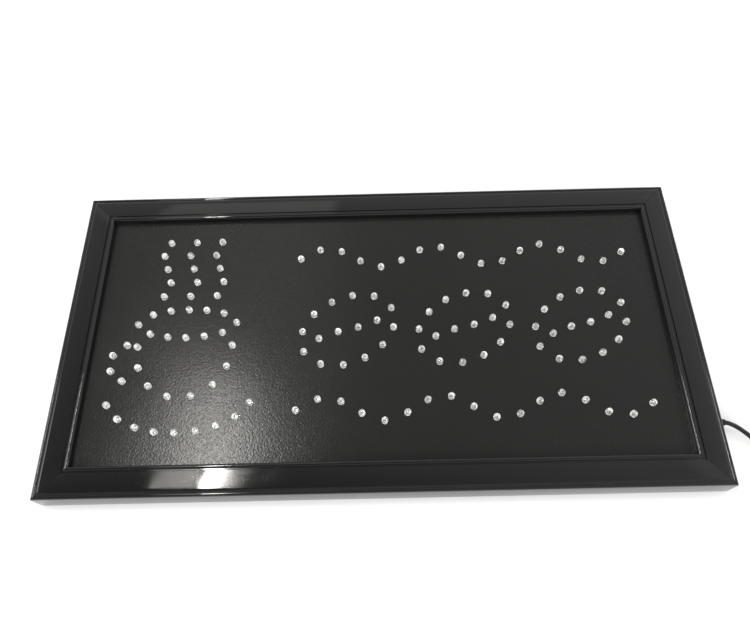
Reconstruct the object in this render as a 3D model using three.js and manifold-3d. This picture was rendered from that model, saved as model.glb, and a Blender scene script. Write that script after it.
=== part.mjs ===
// Window sign with a picture drawn in small lamps: four mitred rails hold a front panel of
// LEDs and a rear cover, with a flasher board between them and a power lead out of the side.
// Millimetres. The sign lies on its back: +X to its right, +Y to its top, +Z out of its face,
// and z = 0 is the rear plane that rests on a table or a wall.
import * as THREE from "three";
import { mergeVertices } from "three/addons/utils/BufferGeometryUtils.js";
import Module from "manifold-3d";

const wasm = await Module();
wasm.setup();

// Overall sizes
const SIGN_WIDTH = 480;
const SIGN_HEIGHT = 250;
const HALF_WIDTH = SIGN_WIDTH / 2;
const HALF_HEIGHT = SIGN_HEIGHT / 2;
const OVERRUN = 1; // how far a cutting tool runs past the face it cuts
const FIT_GAP = 0.3; // clearance between neighbouring pieces
const SEAT_GAP = 0.1; // clearance under a piece that sits on another

// Rail section: u runs inward from the outer edge, z up from the rear plane
const ROLL_RADIUS = 1.6;
const WALL_TOP = 18.2;
const FACE_START = { u: 4.4, z: 20.3 };
const FACE_CROWN = { u: 10.7, z: 20.5 };
const FACE_END = { u: 17.6, z: 20.35 };
const GROOVE_START = 18.1;
const GROOVE_END = 18.7;
const GROOVE_Z = 19.4;
const BEAD_RADIUS = 1.8;
const BEAD_START_ANGLE = 150;
const ROLL_END_ANGLE = 40;
const OPENING_U = 22.3;
const LIP_UNDERSIDE = 15.1;
const SLOT_U = 15;
const FIN_U = 21;
const FIN_BOTTOM = 6.5;
const FIN_TOP = 12.5;
const RIM_WIDTH = 14;
const CHANNEL = { inner: 2.2, outer: 11.8, bottom: 2.2, top: 15 };
const MITRE_GAP = 0.05;
const RAIL_CENTRE_Z = 9; // height of everything that passes through a rail
const KEY_ARM = 36;

// Front panel and rear cover
const PANEL_EDGE_U = SLOT_U + FIT_GAP;
const PANEL_BACK = 12.8;
const PANEL_THICKNESS = 2;
const COVER_EDGE_U = RIM_WIDTH + FIT_GAP;
const COVER_BACK = 4.2;
const COVER_THICKNESS = 2;
const COVER_FRONT = COVER_BACK + COVER_THICKNESS;

// LEDs and the wire that joins each string
const LED_SIDES = 8;
const LED_RADIUS = 2.5;
const LED_FLANGE_RADIUS = 2.9;
const LED_FLANGE_THICKNESS = 1;
const LED_HOLE_RADIUS = 2.75;
const LED_SEAT = PANEL_BACK - SEAT_GAP - LED_FLANGE_THICKNESS;
const LED_SHOULDER = 16.4;
const LED_TIP = 18.8;
const LED_TIP_RADIUS = 1.2;
const STRING_WIRE_WIDTH = 0.8;
const STRING_WIRE_BOTTOM = 10.9;

// The picture: a steaming cup on its saucer, and three beans between two waves
const CUP_X = -148;
const RIM = { y: 8, halfWidth: 38, halfDepth: 12, leds: 12 };
const BOWL = { halfWidth: 36, top: -11, fullness: -66, leds: 8 };
const HANDLE = { x: -40, y: -24, radius: 15, from: 105, to: 255, leds: 4 };
const SAUCER = { y: -50, halfWidth: 54, halfDepth: 29, from: 194, to: 346, leds: 9 };
const STEAM = { bottom: 32, top: 82, sway: 4, spacing: 21, leds: 5 };
const BEAN = { halfLength: 38, halfBreadth: 27, tilt: 28, leds: 12 };
const BEAN_CENTRES = [-24, 65, 154];
const BEAN_CREASE = { leds: 4, bend: 14, firstBend: 0.35, secondBend: 0.65 };
const SINE_STEPS = 48;
const WAVE = { left: -62, right: 196, y: 64, height: 9, crests: 3, leds: 17 };

// Screws
const SCREW = { sides: 8, headRadius: 2.6, headHeight: 1.2, shankRadius: 1.3 };
const COVER_SCREW_LENGTH = 8.5;
const HANGER_SCREW_LENGTH = 5.5;
const SCREW_HOLE_RADIUS = 1.6;
const PILOT_TOP = FIN_TOP + OVERRUN;
const SCREW_U = 17.8;
const SCREW_SPREAD = 190;

// Hangers on the rear cover
const HANGER = { x: 150, y: 88, halfWidth: 5, sheet: 0.8, pinZ: 2.25, tail: 16 };
const KNUCKLE = { radius: 1.8, bore: 1.15 };
const HANGER_SCREW_Y = -10;
const RING_STEPS = 12;
const RING = { wire: 0.9, halfWidth: 7.4, reach: 12, barOverhang: 0.2 };

// Controller board
const BOARD = { left: 128, right: 188, bottom: -103.4, top: -88.4, z: 7.3, thickness: 1.5 };
const PAD_THICKNESS = BOARD.z - COVER_FRONT - 2 * SEAT_GAP;
const PAD_INSET = 3;
const BOARD_TOP = BOARD.z + BOARD.thickness;
const BOARD_MIDDLE = (BOARD.bottom + BOARD.top) / 2;
const PART_SEAT = BOARD_TOP + SEAT_GAP;
const DRIVER = { width: 3, depth: 1.6, height: 1.1 };
const DRIVER_Y = BOARD_MIDDLE + 2.6;
const BOARD_PARTS = [
  { name: "flasher_chip", x: 156, y: BOARD_MIDDLE, width: 10, depth: 4, height: 1.6 },
  { name: "driver_1", x: 138, y: DRIVER_Y, ...DRIVER },
  { name: "driver_2", x: 143, y: DRIVER_Y, ...DRIVER },
  { name: "driver_3", x: 148, y: DRIVER_Y, ...DRIVER },
  { name: "resistor_row", x: 143, y: BOARD_MIDDLE - 3, width: 12, depth: 1.4, height: 0.6 },
];
const CAPACITOR = { x: 168, radius: 2, height: 3.4 };

// Push-buttons in the right rail: a runs outward from the side wall
const BUTTON = { capRadius: 2.9, capOut: 3, chamfer: 0.6, collarRadius: 3.7, collarThickness: 0.8 };
const BUTTON_STEM = { radius: 1.2, inner: -8 };
const BUTTON_HOLE_RADIUS = 3.2;
const SWITCH = { front: -5.2, back: -11.2, halfWidth: 4.2, boreRadius: 1.6, boreEnd: -10 };
const POWER_BUTTON_Y = -36;
const FLASH_BUTTON_Y = -54;
const ROUND_SIDES = 12;

// Power lead, its strain relief and its plug
const LEAD_Y = -78;
const LEAD_RADIUS = 1.6;
const LEAD_BORE_RADIUS = 2.6;
const LEAD_SIDES = 8;
const LEAD_STEPS = 34;
const RELIEF = {
  bore: 1.95, neck: 3.1, flange: 4.4, root: 2.9, tip: 2.4, reach: 6.4, flangeOut: 1.3,
};
const RELIEF_HOLE_RADIUS = RELIEF.neck + FIT_GAP;
const PLUG = { grip: 4.6, neck: 2.8, taper: 9, length: 24, boreDepth: 8, bore: 1.95, socket: 2.95 };
const BARREL = { outer: 2.75, inner: 1.05, length: 14, seated: 4.6 };
const LEAD_END = new THREE.Vector3(304, -158, PLUG.grip);
const LEAD_END_HEADING = new THREE.Vector3(0.32, -0.95, 0).normalize();
const LEAD_LAST_STRAIGHT = 10;
const LEAD_RUN_INSIDE = [[186, -98, 10.7], [196, -97, 10.7], [208, -86, 10], [217, LEAD_Y, 9]];
const LEAD_RUN_THROUGH = [[232.7, LEAD_Y, 9], [246.4, LEAD_Y, 9]];
const LEAD_RUN_OUTSIDE = [[255.4, -81, 7], [271.4, -94, 3], [284.4, -112, 2]];

// Thin hook-up wires inside the case
const HOOKUP = { radius: 0.5, sides: 6, steps: 10, z: 9.8 };
const SWITCH_LEAD_RADIUS = 0.8;
const SWITCH_LEAD_BORE = 1.5;
const SWITCH_LEAD_BENDS = { nearRail: [22, -4], nearBoard: [13, 14] };
const FEED_START_Y = BOARD.top - 1.2;
const FEED_WIRES = {
  waves: [[148, FEED_START_Y], [146, -84], [150, -76], [158, -66]],
  beans: [[142, FEED_START_Y], [128, -70], [104, -44], [96, -20]],
  steam: [[136, FEED_START_Y], [60, -84], [-40, -78], [-76, -30], [-84, 20], [-122, 36]],
  cup: [[131, FEED_START_Y - 4], [60, -96], [-50, -97], [-92, -70], [-112, -20]],
};

const FRAME_BLACK = new THREE.MeshStandardMaterial({ color: 0x161617, roughness: 0.22 });
const PANEL_GREY = new THREE.MeshStandardMaterial({ color: 0x2b2b2a, roughness: 0.5 });
const COVER_BLACK = new THREE.MeshStandardMaterial({ color: 0x1b1b1b, roughness: 0.7 });
const CLEAR_EPOXY = new THREE.MeshStandardMaterial({ color: 0xdfe6e6, roughness: 0.06 });
const STEEL = new THREE.MeshStandardMaterial({ color: 0xa9adb0, roughness: 0.35, metalness: 1 });
const LEAD_BLACK = new THREE.MeshStandardMaterial({ color: 0x101011, roughness: 0.5 });
const BOARD_GREEN = new THREE.MeshStandardMaterial({ color: 0x1d5a33, roughness: 0.4 });
const CHIP_BLACK = new THREE.MeshStandardMaterial({ color: 0x18181a, roughness: 0.6 });
const KEY_GREY = new THREE.MeshStandardMaterial({ color: 0x6f7072, roughness: 0.6 });
const WIRE_RED = new THREE.MeshStandardMaterial({ color: 0x9a1c17, roughness: 0.45 });
const FOAM_WHITE = new THREE.MeshStandardMaterial({ color: 0xd8d6ce, roughness: 0.9 });
const BUTTON_RED = new THREE.MeshStandardMaterial({ color: 0xa3211c, roughness: 0.35 });

const sign = new THREE.Group();

function add(name, geometry, material) {
  const mesh = new THREE.Mesh(geometry, material);
  mesh.name = name;
  sign.add(mesh);
}

function degrees(angle) {
  return THREE.MathUtils.degToRad(angle);
}

function toSolid(geometry) {
  const bare = geometry.clone();
  bare.deleteAttribute("normal");
  bare.deleteAttribute("uv");
  const welded = mergeVertices(bare, 1e-4);
  return new wasm.Manifold(
    new wasm.Mesh({
      numProp: 3,
      vertProperties: welded.attributes.position.array,
      triVerts: new Uint32Array(welded.index.array),
    }),
  );
}

function toGeometry(solid) {
  const mesh = solid.getMesh();
  const geometry = new THREE.BufferGeometry();
  geometry.setAttribute("position", new THREE.BufferAttribute(mesh.vertProperties, 3));
  geometry.setIndex(new THREE.BufferAttribute(mesh.triVerts, 1));
  geometry.computeVertexNormals();
  return geometry;
}

function joined(geometries) {
  return toGeometry(geometries.map(toSolid).reduce((all, next) => all.add(next)));
}

function cut(geometry, tools) {
  const whole = toSolid(geometry);
  return toGeometry(tools.map(toSolid).reduce((rest, tool) => rest.subtract(tool), whole));
}

// A turned piece standing on +Z, from [radius, height] points that start and end on the axis.
function turned(profile, sides) {
  const points = profile.map(([radius, height]) => new THREE.Vector2(radius, height));
  return new THREE.LatheGeometry(points, sides).rotateX(Math.PI / 2);
}

function turnedAlongX(profile, sides) {
  return turned(profile, sides).rotateY(Math.PI / 2);
}

function roundBar(radius, from, to, sides) {
  return turned([[0, from], [radius, from], [radius, to], [0, to]], sides);
}

function roundBarAlongX(radius, from, to, sides) {
  return turnedAlongX([[0, from], [radius, from], [radius, to], [0, to]], sides);
}

function block(left, right, bottom, top, low, high) {
  const box = new THREE.BoxGeometry(right - left, top - bottom, high - low);
  return box.translate((left + right) / 2, (bottom + top) / 2, (low + high) / 2);
}

// A wire of round section that follows smooth bends through the points.
function wire(points, radius, sides, steps) {
  const section = new THREE.Shape(ringPoints(0, 0, radius, sides));
  const path = new THREE.CatmullRomCurve3(points);
  return new THREE.ExtrudeGeometry(section, { steps, extrudePath: path, bevelEnabled: false });
}

function ringPoints(x, y, radius, sides) {
  return Array.from({ length: sides }, (_, i) => {
    const angle = Math.PI / 2 + (2 * Math.PI * i) / sides;
    return new THREE.Vector2(x + radius * Math.cos(angle), y + radius * Math.sin(angle));
  });
}

function plate(edgeU, low, thickness, holes) {
  const right = HALF_WIDTH - edgeU;
  const top = HALF_HEIGHT - edgeU;
  const outline = new THREE.Shape();
  outline.moveTo(-right, -top).lineTo(right, -top).lineTo(right, top).lineTo(-right, top);
  outline.holes = holes;
  const sheet = new THREE.ExtrudeGeometry(outline, { depth: thickness, bevelEnabled: false });
  return sheet.translate(0, 0, low);
}

// ---- Rails -------------------------------------------------------------------------------

function railSection() {
  const outline = new THREE.Shape();
  outline.moveTo(0, 0);
  outline.lineTo(0, WALL_TOP);
  outline.absarc(ROLL_RADIUS, WALL_TOP, ROLL_RADIUS, Math.PI, degrees(ROLL_END_ANGLE), true);
  outline.lineTo(FACE_START.u, FACE_START.z);
  const control = 2 * FACE_CROWN.z - (FACE_START.z + FACE_END.z) / 2;
  outline.quadraticCurveTo(FACE_CROWN.u, control, FACE_END.u, FACE_END.z);
  outline.lineTo(GROOVE_START, GROOVE_Z);
  outline.lineTo(GROOVE_END, GROOVE_Z);
  const beadU = OPENING_U - BEAD_RADIUS;
  const beadZ = GROOVE_Z - BEAD_RADIUS / 2;
  outline.absarc(beadU, beadZ, BEAD_RADIUS, degrees(BEAD_START_ANGLE), 0, true);
  outline.lineTo(OPENING_U, LIP_UNDERSIDE);
  outline.lineTo(SLOT_U, LIP_UNDERSIDE);
  outline.lineTo(SLOT_U, FIN_TOP);
  outline.lineTo(FIN_U, FIN_TOP);
  outline.lineTo(FIN_U, FIN_BOTTOM);
  outline.lineTo(RIM_WIDTH, FIN_BOTTOM);
  outline.lineTo(RIM_WIDTH, 0);
  const hollow = new THREE.Path();
  hollow.moveTo(CHANNEL.inner, CHANNEL.bottom);
  hollow.lineTo(CHANNEL.outer, CHANNEL.bottom);
  hollow.lineTo(CHANNEL.outer, CHANNEL.top);
  hollow.lineTo(CHANNEL.inner, CHANNEL.top);
  outline.holes.push(hollow);
  return outline;
}

// A rail of the given outer length, its ends cut at 45 degrees, laid along the bottom edge
// at the given distance from the centre and then turned round the sign.
function mitredRail(length, distance, turn) {
  const section = { depth: 1, curveSegments: 4, bevelEnabled: false };
  const rail = new THREE.ExtrudeGeometry(railSection(), section);
  const position = rail.attributes.position;
  for (let i = 0; i < position.count; i++) {
    const u = position.getX(i);
    const z = position.getY(i);
    const side = position.getZ(i) > 0.5 ? 1 : -1;
    position.setXYZ(i, side * (length / 2 - u - MITRE_GAP), u - distance, z);
  }
  return rail.rotateZ(degrees(turn));
}

function cornerKey(signX, signY, turn) {
  const inner = CHANNEL.inner + FIT_GAP;
  const outer = CHANNEL.outer - FIT_GAP;
  const outline = new THREE.Shape();
  outline.moveTo(inner, inner).lineTo(KEY_ARM, inner).lineTo(KEY_ARM, outer);
  outline.lineTo(outer, outer).lineTo(outer, KEY_ARM).lineTo(inner, KEY_ARM);
  const height = CHANNEL.top - CHANNEL.bottom - 2 * FIT_GAP;
  const key = new THREE.ExtrudeGeometry(outline, { depth: height, bevelEnabled: false });
  key.translate(0, 0, CHANNEL.bottom + FIT_GAP).rotateZ(degrees(turn));
  return key.translate(signX * HALF_WIDTH, signY * HALF_HEIGHT, 0);
}

function coverScrewPlaces() {
  const edgeY = HALF_HEIGHT - SCREW_U;
  const edgeX = HALF_WIDTH - SCREW_U;
  const alongRails = [-SCREW_SPREAD, 0, SCREW_SPREAD].flatMap((x) => [
    { x, y: -edgeY, rail: "bottom" },
    { x, y: edgeY, rail: "top" },
  ]);
  return [...alongRails, { x: -edgeX, y: 0, rail: "left" }, { x: edgeX, y: 0, rail: "right" }];
}

function pilotHoles(rail) {
  return coverScrewPlaces()
    .filter((place) => place.rail === rail)
    .map(({ x, y }) => {
      const hole = roundBar(SCREW_HOLE_RADIUS, FIN_BOTTOM - OVERRUN, PILOT_TOP, SCREW.sides);
      return hole.translate(x, y, 0);
    });
}

function sideHole(radius, fromU, toU, y) {
  const hole = roundBarAlongX(radius, HALF_WIDTH - toU, HALF_WIDTH - fromU, ROUND_SIDES);
  return hole.translate(0, y, RAIL_CENTRE_Z);
}

function rightRailHoles() {
  const outerWall = [-OVERRUN, CHANNEL.inner + OVERRUN];
  const innerWall = [CHANNEL.outer - OVERRUN, FIN_U + OVERRUN];
  const buttons = [POWER_BUTTON_Y, FLASH_BUTTON_Y];
  return [
    sideHole(RELIEF_HOLE_RADIUS, ...outerWall, LEAD_Y),
    sideHole(LEAD_BORE_RADIUS, ...innerWall, LEAD_Y),
    ...buttons.map((y) => sideHole(BUTTON_HOLE_RADIUS, ...outerWall, y)),
    ...buttons.map((y) => sideHole(SWITCH_LEAD_BORE, ...innerWall, y)),
  ];
}

function addFrame() {
  const bottom = mitredRail(SIGN_WIDTH, HALF_HEIGHT, 0);
  const right = mitredRail(SIGN_HEIGHT, HALF_WIDTH, 90);
  const top = mitredRail(SIGN_WIDTH, HALF_HEIGHT, 180);
  const left = mitredRail(SIGN_HEIGHT, HALF_WIDTH, 270);
  add("rail_bottom", cut(bottom, pilotHoles("bottom")), FRAME_BLACK);
  add("rail_right", cut(right, [...pilotHoles("right"), ...rightRailHoles()]), FRAME_BLACK);
  add("rail_top", cut(top, pilotHoles("top")), FRAME_BLACK);
  add("rail_left", cut(left, pilotHoles("left")), FRAME_BLACK);
  add("corner_key_1", cornerKey(-1, -1, 0), KEY_GREY);
  add("corner_key_2", cornerKey(1, -1, 90), KEY_GREY);
  add("corner_key_3", cornerKey(1, 1, 180), KEY_GREY);
  add("corner_key_4", cornerKey(-1, 1, 270), KEY_GREY);
}

// ---- LED strings -------------------------------------------------------------------------

function spaced(curve, count) {
  return curve.getSpacedPoints(count - 1);
}

function spacedRound(curve, count) {
  return curve.getSpacedPoints(count).slice(0, count);
}

function arc(x, y, halfWidth, halfDepth, from, to) {
  return new THREE.EllipseCurve(x, y, halfWidth, halfDepth, degrees(from), degrees(to));
}

function sineLine(x, y, dx, dy, swayX, swayY, turns) {
  const points = Array.from({ length: SINE_STEPS + 1 }, (_, i) => {
    const t = i / SINE_STEPS;
    const sway = Math.sin(2 * Math.PI * turns * t);
    return new THREE.Vector2(x + dx * t + swayX * sway, y + dy * t + swayY * sway);
  });
  return new THREE.SplineCurve(points);
}

function steamLeds(column) {
  const x = CUP_X + column * STEAM.spacing;
  const line = sineLine(x, STEAM.bottom, 0, STEAM.top - STEAM.bottom, STEAM.sway, 0, 1);
  return spaced(line, STEAM.leds);
}

function bowlLeds() {
  const { halfWidth, top, fullness, leds } = BOWL;
  const left = CUP_X - halfWidth;
  const right = CUP_X + halfWidth;
  const corners = [[left, top], [left, fullness], [right, fullness], [right, top]];
  const curve = new THREE.CubicBezierCurve(...corners.map(([x, y]) => new THREE.Vector2(x, y)));
  return spaced(curve, leds);
}

function beanOutlineLeds(x) {
  const outline = arc(x, 0, BEAN.halfLength, BEAN.halfBreadth, 0, 360);
  outline.aRotation = degrees(BEAN.tilt);
  return spacedRound(outline, BEAN.leds);
}

// The crease runs in an S from the bean's first LED to the one opposite.
function beanCreaseLeds(outline) {
  const start = outline[0];
  const end = outline[BEAN.leds / 2];
  const along = end.clone().sub(start);
  const across = new THREE.Vector2(-along.y, along.x).normalize().multiplyScalar(BEAN_CREASE.bend);
  const at = (t, bend) => start.clone().addScaledVector(along, t).addScaledVector(across, bend);
  const { firstBend, secondBend, leds } = BEAN_CREASE;
  const curve = new THREE.CubicBezierCurve(start, at(firstBend, 1), at(secondBend, -1), end);
  return spaced(curve, leds + 2);
}

function waveLeds(y) {
  const line = sineLine(WAVE.left, y, WAVE.right - WAVE.left, 0, 0, WAVE.height, WAVE.crests);
  return spaced(line, WAVE.leds);
}

function led({ x, y }) {
  const flangeTop = LED_SEAT + LED_FLANGE_THICKNESS;
  const profile = [
    [0, LED_SEAT],
    [LED_FLANGE_RADIUS, LED_SEAT],
    [LED_FLANGE_RADIUS, flangeTop],
    [LED_RADIUS, flangeTop],
    [LED_RADIUS, LED_SHOULDER],
    [LED_TIP_RADIUS, LED_TIP],
    [0, LED_TIP],
  ];
  return turned(profile, LED_SIDES).translate(x, y, 0);
}

// One flat wire under a run of LEDs, with its bends mitred.
function stringWire(points, closed) {
  const left = [];
  const right = [];
  points.forEach((point, i) => {
    const before = points[i - 1] ?? (closed ? points.at(-1) : point);
    const after = points[i + 1] ?? (closed ? points[0] : point);
    const along = after.clone().sub(before).normalize();
    const side = new THREE.Vector2(-along.y, along.x).multiplyScalar(STRING_WIRE_WIDTH / 2);
    left.push(point.clone().add(side));
    right.push(point.clone().sub(side));
  });
  const outline = new THREE.Shape(closed ? right : [...right, ...left.reverse()]);
  if (closed) outline.holes.push(new THREE.Path(left));
  const depth = LED_SEAT - STRING_WIRE_BOTTOM;
  const ribbon = new THREE.ExtrudeGeometry(outline, { depth, bevelEnabled: false });
  return ribbon.translate(0, 0, STRING_WIRE_BOTTOM);
}

// Each string is one soldered chain: its LEDs and the wires that join them.
function ledStrings() {
  const strings = [];
  const open = (name, leds) => strings.push({ name, leds, wires: [stringWire(leds, false)] });
  ["left", "middle", "right"].forEach((side, i) => open("leds_steam_" + side, steamLeds(i - 1)));
  const rim = spacedRound(arc(CUP_X, RIM.y, RIM.halfWidth, RIM.halfDepth, 0, 360), RIM.leds);
  strings.push({ name: "leds_cup_rim", leds: rim, wires: [stringWire(rim, true)] });
  open("leds_cup_bowl", bowlLeds());
  const { x, y, radius, from, to } = HANDLE;
  open("leds_cup_handle", spaced(arc(CUP_X + x, y, radius, radius, from, to), HANDLE.leds));
  const saucer = arc(CUP_X, SAUCER.y, SAUCER.halfWidth, SAUCER.halfDepth, SAUCER.from, SAUCER.to);
  open("leds_saucer", spaced(saucer, SAUCER.leds));
  BEAN_CENTRES.forEach((centreX, i) => {
    const outline = beanOutlineLeds(centreX);
    const crease = beanCreaseLeds(outline);
    const leds = [...outline, ...crease.slice(1, -1)];
    const wires = [stringWire(outline, true), stringWire(crease, false)];
    strings.push({ name: "leds_bean_" + (i + 1), leds, wires });
  });
  open("leds_wave_top", waveLeds(WAVE.y));
  open("leds_wave_bottom", waveLeds(-WAVE.y));
  return strings;
}

function addDisplay() {
  const strings = ledStrings();
  const holes = strings
    .flatMap(({ leds }) => leds)
    .map(({ x, y }) => new THREE.Path(ringPoints(x, y, LED_HOLE_RADIUS, LED_SIDES)));
  add("front_panel", plate(PANEL_EDGE_U, PANEL_BACK, PANEL_THICKNESS, holes), PANEL_GREY);
  for (const { name, leds, wires } of strings) {
    add(name, joined([...leds.map(led), ...wires]), CLEAR_EPOXY);
  }
}

// ---- Rear cover, screws and hangers --------------------------------------------------------

function screw(headTop, shankLength) {
  const { headRadius, headHeight, shankRadius, sides } = SCREW;
  const profile = [
    [0, headTop - headHeight],
    [headRadius, headTop - headHeight],
    [headRadius, headTop],
    [shankRadius, headTop],
    [shankRadius, headTop + shankLength - shankRadius],
    [0, headTop + shankLength],
  ];
  return turned(profile, sides);
}

function hangerSide(side) {
  return { x: side * HANGER.x, y: HANGER.y };
}

function hangerStrap() {
  const { pinZ, sheet, tail, halfWidth } = HANGER;
  const { radius, bore } = KNUCKLE;
  const top = pinZ + radius;
  const meet = Math.asin((radius - sheet) / radius);
  const outline = new THREE.Shape();
  outline.moveTo(-tail, top);
  outline.absarc(0, pinZ, radius, Math.PI / 2, -Math.PI - meet, true);
  outline.lineTo(-tail, top - sheet);
  outline.holes.push(new THREE.Path(ringPoints(0, pinZ, bore, ROUND_SIDES)));
  const options = { depth: 2 * halfWidth, curveSegments: ROUND_SIDES, bevelEnabled: false };
  const strap = new THREE.ExtrudeGeometry(outline, options);
  strap.rotateY(Math.PI / 2).rotateX(Math.PI / 2).translate(-halfWidth, 0, 0);
  const hole = roundBar(SCREW_HOLE_RADIUS, 0, COVER_BACK, SCREW.sides);
  return cut(strap, [hole.translate(0, HANGER_SCREW_Y, 0)]);
}

function hangerRing() {
  const { wire: radius, halfWidth, reach, barOverhang } = RING;
  const arch = Array.from({ length: RING_STEPS + 1 }, (_, i) => {
    const angle = (Math.PI * i) / RING_STEPS;
    return new THREE.Vector3(halfWidth * Math.cos(angle), reach * Math.sin(angle), HANGER.pinZ);
  });
  const barEnd = halfWidth + radius + barOverhang;
  const bar = roundBarAlongX(radius, -barEnd, barEnd, LEAD_SIDES).translate(0, 0, HANGER.pinZ);
  return joined([wire(arch, radius, LEAD_SIDES, RING_STEPS + 2), bar]);
}

function addBack() {
  const places = coverScrewPlaces();
  const sides = { left: hangerSide(-1), right: hangerSide(1) };
  const hangerHoles = Object.values(sides).map(({ x, y }) => ({ x, y: y + HANGER_SCREW_Y }));
  const holes = [...places, ...hangerHoles].map(
    ({ x, y }) => new THREE.Path(ringPoints(x, y, SCREW_HOLE_RADIUS, SCREW.sides)),
  );
  add("rear_cover", plate(COVER_EDGE_U, COVER_BACK, COVER_THICKNESS, holes), COVER_BLACK);
  places.forEach(({ x, y }, i) => {
    const fixing = screw(COVER_BACK - SEAT_GAP, COVER_SCREW_LENGTH);
    add("cover_screw_" + (i + 1), fixing.translate(x, y, 0), STEEL);
  });
  const strapBack = HANGER.pinZ + KNUCKLE.radius - HANGER.sheet;
  for (const [side, { x, y }] of Object.entries(sides)) {
    add("hanger_strap_" + side, hangerStrap().translate(x, y, 0), STEEL);
    add("hanger_ring_" + side, hangerRing().translate(x, y, 0), STEEL);
    const fixing = screw(strapBack - SEAT_GAP, HANGER_SCREW_LENGTH);
    add("hanger_screw_" + side, fixing.translate(x, y + HANGER_SCREW_Y, 0), STEEL);
  }
}

// ---- Buttons in the right rail -------------------------------------------------------------

function buttonCap() {
  const { capRadius, capOut, chamfer, collarRadius, collarThickness } = BUTTON;
  const collarOut = -CHANNEL.inner - SEAT_GAP;
  const profile = [
    [0, BUTTON_STEM.inner],
    [BUTTON_STEM.radius, BUTTON_STEM.inner],
    [BUTTON_STEM.radius, collarOut - collarThickness],
    [collarRadius, collarOut - collarThickness],
    [collarRadius, collarOut],
    [capRadius, collarOut],
    [capRadius, capOut - chamfer],
    [capRadius - chamfer, capOut],
    [0, capOut],
  ];
  return turnedAlongX(profile, ROUND_SIDES);
}

function switchBody() {
  const { front, back, halfWidth, boreRadius, boreEnd } = SWITCH;
  const low = CHANNEL.bottom + FIT_GAP - RAIL_CENTRE_Z;
  const high = CHANNEL.top - FIT_GAP - RAIL_CENTRE_Z;
  const body = block(back, front, -halfWidth, halfWidth, low, high);
  return cut(body, [roundBarAlongX(boreRadius, boreEnd, front + OVERRUN, ROUND_SIDES)]);
}

function switchLead(y, endX, endY) {
  const { nearRail, nearBoard } = SWITCH_LEAD_BENDS;
  const start = HALF_WIDTH + SWITCH.back - FIT_GAP;
  const points = [
    new THREE.Vector3(start, y, RAIL_CENTRE_Z),
    new THREE.Vector3(HALF_WIDTH - FIN_U, y, RAIL_CENTRE_Z),
    new THREE.Vector3(endX + nearRail[0], y + nearRail[1], RAIL_CENTRE_Z),
    new THREE.Vector3(endX + nearBoard[0], endY + nearBoard[1], HOOKUP.z),
    new THREE.Vector3(endX, endY, HOOKUP.z),
  ];
  return wire(points, SWITCH_LEAD_RADIUS, HOOKUP.sides, 2 * HOOKUP.steps);
}

function addButtons() {
  const buttons = [
    { name: "power", y: POWER_BUTTON_Y, endX: 180, endY: -90, material: BUTTON_RED },
    { name: "flash", y: FLASH_BUTTON_Y, endX: 184.5, endY: -92.5, material: CHIP_BLACK },
  ];
  for (const { name, y, endX, endY, material } of buttons) {
    add(name + "_button", buttonCap().translate(HALF_WIDTH, y, RAIL_CENTRE_Z), material);
    add(name + "_switch", switchBody().translate(HALF_WIDTH, y, RAIL_CENTRE_Z), CHIP_BLACK);
    add(name + "_switch_lead", switchLead(y, endX, endY), WIRE_RED);
  }
}

// ---- Controller board ----------------------------------------------------------------------

function onBoard({ name, x, y, width, depth, height }) {
  const box = new THREE.BoxGeometry(width, depth, height);
  add(name, box.translate(x, y, PART_SEAT + height / 2), CHIP_BLACK);
}

function hookupWire(points) {
  const path = points.map(([x, y]) => new THREE.Vector3(x, y, HOOKUP.z));
  return wire(path, HOOKUP.radius, HOOKUP.sides, HOOKUP.steps);
}

function addController() {
  const { left, right, bottom, top, z, thickness } = BOARD;
  const padLow = COVER_FRONT + SEAT_GAP;
  const padSides = [left + PAD_INSET, right - PAD_INSET, bottom + PAD_INSET, top - PAD_INSET];
  add("board_pad", block(...padSides, padLow, padLow + PAD_THICKNESS), FOAM_WHITE);
  add("controller_board", block(left, right, bottom, top, z, z + thickness), BOARD_GREEN);
  BOARD_PARTS.forEach(onBoard);
  const can = roundBar(CAPACITOR.radius, 0, CAPACITOR.height, ROUND_SIDES);
  add("capacitor", can.translate(CAPACITOR.x, BOARD_MIDDLE, PART_SEAT), STEEL);
}

function addFeedWires() {
  for (const [string, points] of Object.entries(FEED_WIRES)) {
    add("feed_wire_" + string, hookupWire(points), WIRE_RED);
  }
}

// ---- Power lead ----------------------------------------------------------------------------

function leadPoints() {
  const run = [...LEAD_RUN_INSIDE, ...LEAD_RUN_THROUGH, ...LEAD_RUN_OUTSIDE];
  const beforeEnd = LEAD_END.clone().addScaledVector(LEAD_END_HEADING, -LEAD_LAST_STRAIGHT);
  return [...run.map((point) => new THREE.Vector3(...point)), beforeEnd, LEAD_END];
}

function strainRelief() {
  const { bore, neck, flange, root, tip, reach, flangeOut } = RELIEF;
  const wallIn = -CHANNEL.inner - FIT_GAP;
  const profile = [
    [bore, wallIn - flangeOut],
    [flange, wallIn - flangeOut],
    [flange, wallIn],
    [neck, wallIn],
    [neck, SEAT_GAP],
    [flange, SEAT_GAP],
    [flange, SEAT_GAP + flangeOut],
    [root, SEAT_GAP + flangeOut],
    [tip, reach],
    [bore, reach],
    [bore, wallIn - flangeOut],
  ];
  return turnedAlongX(profile, ROUND_SIDES).translate(HALF_WIDTH, LEAD_Y, RAIL_CENTRE_Z);
}

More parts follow.
